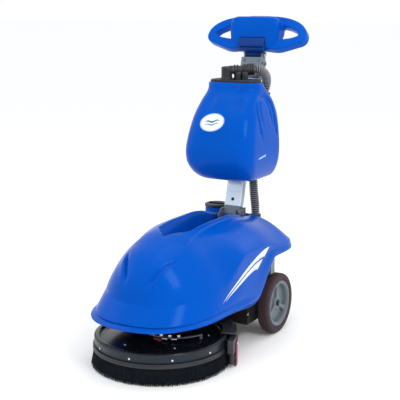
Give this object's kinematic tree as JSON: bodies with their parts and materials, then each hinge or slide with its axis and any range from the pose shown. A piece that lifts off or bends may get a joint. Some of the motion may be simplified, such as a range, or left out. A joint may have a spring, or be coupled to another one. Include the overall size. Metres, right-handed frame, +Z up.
{
  "type": "walk-behind floor scrubber drier",
  "caption": "Compact battery floor scrubber drier with domed solution tank, folding mast, removable recovery tank, wheel-style push handle, disc brush deck and squeegee.",
  "frame": {"origin": "middle of the footprint, on the floor", "axes": "+Z up, -Y the front (nose of the hood), +Y the operator's side, +X the machine's left-hand side as its operator stands"},
  "size_m": [0.458, 0.9094, 1.0355],
  "materials": {
    "blue_plastic": "glossy rotomoulded polyethylene",
    "dark_blue_plastic": "satin",
    "deck_black": "glossy black",
    "black_plastic": "satin black",
    "band_grey": "satin dark grey paint",
    "bristle": "nylon filaments",
    "frame_paint": "black powder coat",
    "bracket_grey": "grey powder coat",
    "squeegee_metal": "dark cast aluminium",
    "blade_rubber": "matte",
    "blade_red": "dark red polyurethane",
    "tyre_rubber": "dark brownish non-marking tyre",
    "rim_grey": "grey nylon",
    "mast_silver": "silver paint",
    "zinc_steel": "zinc plated",
    "bright_steel": "bright",
    "battery_grey": "battery case",
    "motor_alloy": "cast",
    "motor_paint": "satin black",
    "hose_rubber": "corrugated flexible hose",
    "red_plastic": "gloss red"
  },
  "bodies": {
    "chassis": {"axle": "bright_steel", "chassis_tray": "frame_paint", "hood_bracket_left": "bracket_grey", "hood_bracket_right": "bracket_grey", "mast_support": "frame_paint", "deck_guide_bracket": "frame_paint", "tank_hood": "blue_plastic", "tank_liner": "dark_blue_plastic", "filler_neck": "blue_plastic", "battery_left": "battery_grey", "battery_right": "battery_grey", "vacuum_motor": "motor_alloy", "control_box": "black_plastic", "mast_foot": "bracket_grey", "mast_pin": "bright_steel", "hose_collar": "black_plastic", "suction_hose_lower": "hose_rubber"},
    "filler_cap_body": {"filler_cap": "black_plastic"},
    "wheel_left": {"tyre_left": "tyre_rubber", "wheel_rim_left": "rim_grey"},
    "wheel_right": {"tyre_right": "tyre_rubber", "wheel_rim_right": "rim_grey"},
    "deck": {"deck_housing": "deck_black", "clamp_band": "band_grey", "skirt_holder": "black_plastic", "bristle_skirt": "bristle", "brush_gearbox": "motor_alloy", "brush_motor": "motor_paint", "swing_guide_bar": "zinc_steel"},
    "brush": {"brush_plate": "dark_blue_plastic", "brush_bristles": "bristle", "brush_hub": "bright_steel"},
    "squeegee_swing": {"squeegee_carrier": "squeegee_metal"},
    "squeegee": {"squeegee_frame": "squeegee_metal", "squeegee_front_blade": "blade_rubber", "squeegee_rear_blade": "blade_red"},
    "roller_left": {"squeegee_roller_left": "black_plastic"},
    "roller_right": {"squeegee_roller_right": "black_plastic"},
    "mast": {"mast_tube": "mast_silver", "mast_knuckle": "bracket_grey", "mast_head": "zinc_steel", "handle_pin": "bright_steel", "tank_support": "bracket_grey", "mast_hose_clip": "black_plastic", "suction_hose_middle": "hose_rubber"},
    "lock": {"lock_lever": "black_plastic"},
    "dirty_tank": {"recovery_tank": "blue_plastic", "float_valve": "black_plastic", "tank_hose_clip": "black_plastic", "suction_hose_upper": "hose_rubber"},
    "dirty_tank_lid": {"tank_lid": "black_plastic", "vacuum_elbow": "black_plastic", "hose_cuff": "black_plastic"},
    "handle": {"handle_shell": "blue_plastic", "handle_boss": "dark_blue_plastic", "dash_panel": "black_plastic"},
    "button_brush": {"brush_button": "red_plastic"},
    "button_vacuum": {"vacuum_button": "black_plastic"},
    "button_water": {"water_button": "black_plastic"},
    "key": {"key_switch": "bright_steel"}
  },
  "joints": [
    {"name": "filler_cap_lift", "type": "slide", "parent": "chassis", "child": "filler_cap_body", "axis": [0, 0, 1], "range_m": [0, 0.05]},
    {"name": "wheel_left_spin", "type": "hinge", "parent": "chassis", "child": "wheel_left", "pos_m": [0.19, 0.1726, 0.1], "axis": [1, 0, 0], "continuous": true},
    {"name": "wheel_right_spin", "type": "hinge", "parent": "chassis", "child": "wheel_right", "pos_m": [-0.19, 0.1726, 0.1], "axis": [1, 0, 0], "continuous": true},
    {"name": "deck_lift", "type": "slide", "parent": "chassis", "child": "deck", "axis": [0, 0, 1], "range_m": [0, 0.025]},
    {"name": "brush_spin", "type": "hinge", "parent": "deck", "child": "brush", "pos_m": [0, -0.2414, 0.05], "axis": [0, 0, 1], "continuous": true},
    {"name": "squeegee_turn", "type": "hinge", "parent": "deck", "child": "squeegee_swing", "pos_m": [0, -0.2414, 0.1025], "axis": [0, 0, 1], "range_deg": [-20, 20]},
    {"name": "squeegee_float", "type": "slide", "parent": "squeegee_swing", "child": "squeegee", "axis": [0, 0, 1], "range_m": [0, 0.012]},
    {"name": "roller_left_spin", "type": "hinge", "parent": "squeegee", "child": "roller_left", "pos_m": [0.21772, -0.18873, 0.028], "axis": [0, 0, 1], "continuous": true},
    {"name": "roller_right_spin", "type": "hinge", "parent": "squeegee", "child": "roller_right", "pos_m": [-0.21772, -0.18873, 0.028], "axis": [0, 0, 1], "continuous": true},
    {"name": "mast_fold", "type": "hinge", "parent": "chassis", "child": "mast", "pos_m": [0, 0.2286, 0.372], "axis": [1, 0, 0], "range_deg": [0, 32], "deforming": ["suction_hose_lower", "suction_hose_middle"]},
    {"name": "lock_swing", "type": "hinge", "parent": "chassis", "child": "lock", "pos_m": [0.04, 0.2106, 0.345], "axis": [1, 0, 0], "range_deg": [0, 25]},
    {"name": "tank_pull", "type": "slide", "parent": "mast", "child": "dirty_tank", "axis": [0, -0.9583, 0.2857], "range_m": [0, 0.1], "deforming": ["suction_hose_middle", "suction_hose_upper"]},
    {"name": "lid_lift", "type": "slide", "parent": "dirty_tank", "child": "dirty_tank_lid", "axis": [0, 0, 1], "range_m": [0, 0.04], "deforming": ["suction_hose_upper"]},
    {"name": "handle_tilt", "type": "hinge", "parent": "mast", "child": "handle", "pos_m": [0, 0.38744, 0.90483], "axis": [1, 0, 0], "range_deg": [-12, 20]},
    {"name": "brush_button_press", "type": "slide", "parent": "handle", "child": "button_brush", "axis": [0, -0.866, 0.5], "range_m": [0, 0.002], "stiffness_N_per_m": 300},
    {"name": "vacuum_button_press", "type": "slide", "parent": "handle", "child": "button_vacuum", "axis": [0, -0.866, 0.5], "range_m": [0, 0.002], "stiffness_N_per_m": 300},
    {"name": "water_button_press", "type": "slide", "parent": "handle", "child": "button_water", "axis": [0, -0.866, 0.5], "range_m": [0, 0.002], "stiffness_N_per_m": 300},
    {"name": "key_turn", "type": "hinge", "parent": "handle", "child": "key", "pos_m": [0.03, 0.42744, 0.97411], "axis": [0, 0.866, -0.5], "range_deg": [0, 90]}
  ]
}
